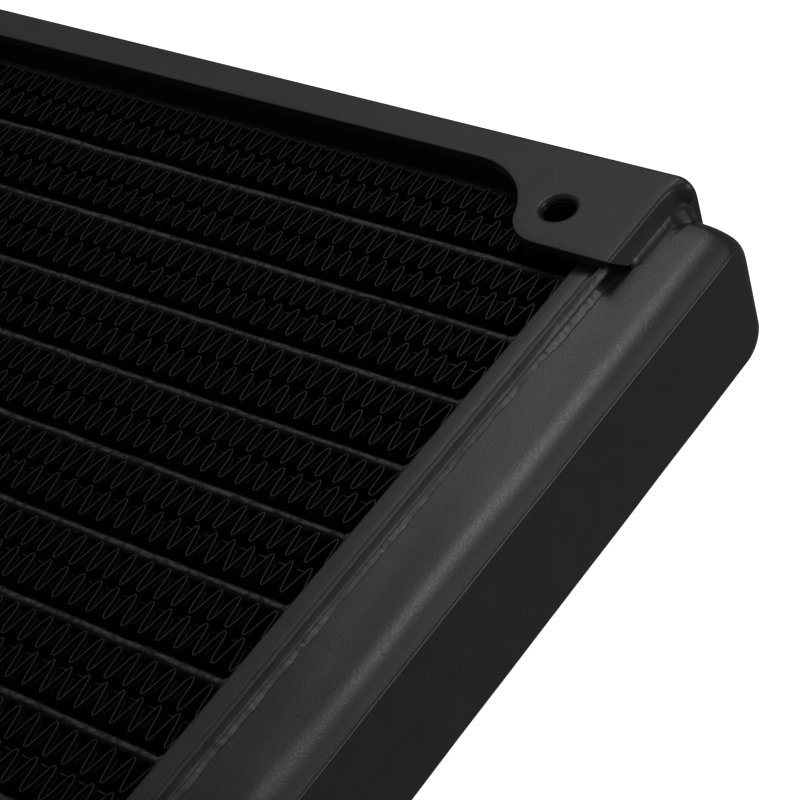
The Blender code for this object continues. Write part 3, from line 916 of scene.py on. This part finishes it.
def railBead(name, side, end):
    # fillet between a rail's end and the tank: along the lip, round the corner, down the web and back
    front = rail["edgeMargin"] + rail["tabReach"]
    s = np.concatenate([np.linspace(0, 1, 9), [1.0, -0.4]])
    fall = 0.65 * (1 - s) ** 2 + 0.35 * (1 - s)
    fall[-2:] = -0.3
    plate = solder["railStart"] + (solder["railEndDrop"] - solder["railStart"]) * (1 - fall)
    web = solder["webStart"] + (solder["webEnd"] - solder["webStart"]) * (1 - fall)
    corner = 1.1
    turn = np.radians(np.linspace(0, 90, 14))[:, None]
    share = np.linspace(0, 1, 90)[:, None]
    flatY = (front - rail["lipCut"] - 0.3) * (1 - share) + (web + corner) * share
    flatZ = np.repeat(plate[None, :], len(share), 0)
    bendY = web + corner * (1 - np.sin(turn))
    bendZ = plate + corner * (1 - np.cos(turn))
    tall = np.linspace(0, 1, 110)[1:-1, None]
    webZ = (plate + corner) * (1 - tall) + (topZ - plate - corner) * tall
    webY = np.repeat(web[None, :], len(tall), 0)
    y = np.concatenate([flatY, bendY, webY, bendY[::-1], flatY[::-1]])
    z = np.concatenate([flatZ, bendZ, webZ, topZ - bendZ[::-1], topZ - flatZ[::-1]])
    along = np.concatenate([[0], np.cumsum(np.hypot(np.diff(y[:, 4]), np.diff(z[:, 4])))])
    seed = 100 + 10 * side + end
    width = solder["railWidth"] * (1 + 0.10 * wander(along, seed, 0.05, 0.4)
                                   + 0.04 * wander(along, seed + 1, 0.5, 1.2))
    webShare = lipShare(y[:, 0])
    lipX = rail["lipRun"] * solder["railStart"] / rail["lipDrop"]
    webX = webRun(np.minimum(z[:, 0], topZ - z[:, 0]).clip(0, rail["lipDrop"]))
    start = railEnd - rail["lipStart"] - solder["railOverlap"] + lipX * (1 - webShare) + webX * webShare
    cornerShare = np.exp(-(np.maximum(y[:, 0] - 2.2, 0) / 0.8) ** 2)
    foot = (start + width) * (1 - cornerShare) + (railEnd + solder["railWidth"]) * cornerShare
    tail = np.clip(np.minimum(along, along[-1] - along) / solder["railTail"], 0.05, 1) ** 0.5
    x = start[:, None] + np.where(s > 0, s, 0.4 * s)[None, :] * ((foot - start) * tail)[:, None]
    inside = np.clip(s, 0, 1)[None, :]
    lumps = solder["railLumps"] * wander(along, seed + 2, 0.25, 1.0)[:, None] * np.sin(math.pi * inside)
    dice = np.random.default_rng(seed)
    pits = pitted(along, dice, dice.uniform(0.5, along[-1] - 0.5, solder["railPits"]), 0.10, 0.22)
    lumps = lumps - solder["pitDepth"] * pits[:, None] * np.sin(math.pi * inside)
    z = z - lumps * np.where(z < midZ, 1, -1)
    points = np.stack([centreX + end * x, side * (railHalf - y), topZ - z], -1)
    closing = gridFaces(len(points), len(s), True)
    caps = np.array([[row * len(s) + corner for corner in (0, i, i + 1, i + 1)]
                     for row in (0, len(points) - 1) for i in range(1, len(s) - 1)])
    return addPiece(name, points.reshape(-1, 3), np.concatenate([closing, caps]), solderCoat,
                    "coated_brass", (), 60)


for side, word in ((-1, "left"), (1, "right")):
    for end, place in ((-1, "port"), (1, "return")):
        railBead(f"rail_solder_{word}_{place}", side, end)
print("solder laid")


# ---- pieces whose CAD shape stays, with their own finish

def refinish(node, material):
    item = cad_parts[node]
    item.data.materials.clear()
    item.data.materials.append(material)


refinish("flow_partition", brass)
refinish("core_side_plate_left", railCoat)
refinish("core_side_plate_right", railCoat)


# ---- stage, light and camera

view = {
    "hole": (centreX + screwX, railHalf - rail["edgeMargin"], topZ),
    "offset": (125.1, -137.8, 148.4),     # the camera's place from that screw hole, in millimetres
    "right": (0.7897, 0.5653, -0.2381),
    "up": (-0.2568, 0.6572, 0.7086),
    "lens": 116.82,
}


def makeCamera():
    data = bpy.data.cameras.new("camera")
    camera = bpy.data.objects.new("camera", data)
    bpy.context.scene.collection.objects.link(camera)
    right, up = Vector(view["right"]).normalized(), Vector(view["up"]).normalized()
    back = right.cross(up).normalized()
    up = back.cross(right)
    place = Vector(view["hole"]) + Vector(view["offset"])
    turn = Matrix((right, up, back)).transposed()
    camera.matrix_world = Matrix.Translation(place * mm) @ turn.to_4x4()
    data.lens, data.sensor_width = view["lens"], 36.0
    data.clip_start, data.clip_end = 0.01, 100.0
    bpy.context.scene.camera = camera


studio = {
    "floor": 1.0,
    "world": 0.148,
    "boxes": [
        # name, direction from the object, distance, width, height, power
        ("front_left", (-0.557, 0.4985, 0.664), 0.9, 0.40, 0.40, 0.20),
        ("back_left", (-0.36, 0.60, 0.70), 0.9, 0.22, 0.30, 0.14),
        ("overhead", (-0.17, 0.4985, 0.85), 0.9, 0.12, 0.30, 0.70),
        ("back_right", (0.30, 0.50, 0.81), 0.9, 0.35, 0.40, 0.50),
        ("right_side", (0.85, 0.50, 0.17), 0.9, 0.40, 0.26, 1.05),
    ],
    "middle": (-0.01, -0.03, 0.0),   # what the lights face, from the screw hole in metres
}


def makeStage():
    half = 15.0
    corners = np.array([(-half, -half, 0), (half, -half, 0), (half, half, 0), (-half, half, 0)])
    mesh = bpy.data.meshes.new("floor")
    mesh.from_pydata((corners - (0, 0, 0.0002)).tolist(), [], [(0, 1, 2, 3)])
    floor = bpy.data.objects.new("floor", mesh)
    bpy.context.scene.collection.objects.link(floor)
    material = bpy.data.materials.new("pale_floor")
    shader = nodesOf(material)[1]
    shader.inputs["Base Color"].default_value = (0.9, 0.9, 0.9, 1)
    shader.inputs["Roughness"].default_value = 0.9
    shader.inputs["Emission Color"].default_value = (1, 1, 1, 1)
    shader.inputs["Emission Strength"].default_value = studio["floor"]
    mesh.materials.append(material)
    floor.visible_diffuse = floor.visible_glossy = False


def makeLights():
    centre = Vector(view["hole"]) * mm + Vector(studio["middle"])
    for name, direction, distance, width, height, power in studio["boxes"]:
        data = bpy.data.lights.new(name, "AREA")
        data.shape, data.size, data.size_y, data.energy = "RECTANGLE", width, height, power
        light = bpy.data.objects.new(name, data)
        bpy.context.scene.collection.objects.link(light)
        way = Vector(direction).normalized()
        light.location = centre + way * distance
        light.rotation_mode = "QUATERNION"
        light.rotation_quaternion = way.to_track_quat("Z", "Y")
    world = bpy.data.worlds.new("studio")
    bpy.context.scene.world = world
    world.use_nodes = True
    tree = world.node_tree
    path = tree.nodes.new("ShaderNodeLightPath")
    seen = tree.nodes.new("ShaderNodeBackground")
    seen.inputs["Strength"].default_value = 1.0
    seen.inputs["Color"].default_value = (1, 1, 1, 1)
    lit = tree.nodes["Background"]
    lit.inputs["Color"].default_value = (1, 1, 1, 1)
    lit.inputs["Strength"].default_value = studio["world"]
    mix = tree.nodes.new("ShaderNodeMixShader")
    tree.links.new(path.outputs["Is Camera Ray"], mix.inputs[0])
    tree.links.new(lit.outputs[0], mix.inputs[1])
    tree.links.new(seen.outputs[0], mix.inputs[2])
    tree.links.new(mix.outputs[0], tree.nodes["World Output"].inputs["Surface"])


makeCamera()
makeStage()
makeLights()
bpy.context.scene.view_settings.view_transform = "Standard"
print("stage set")
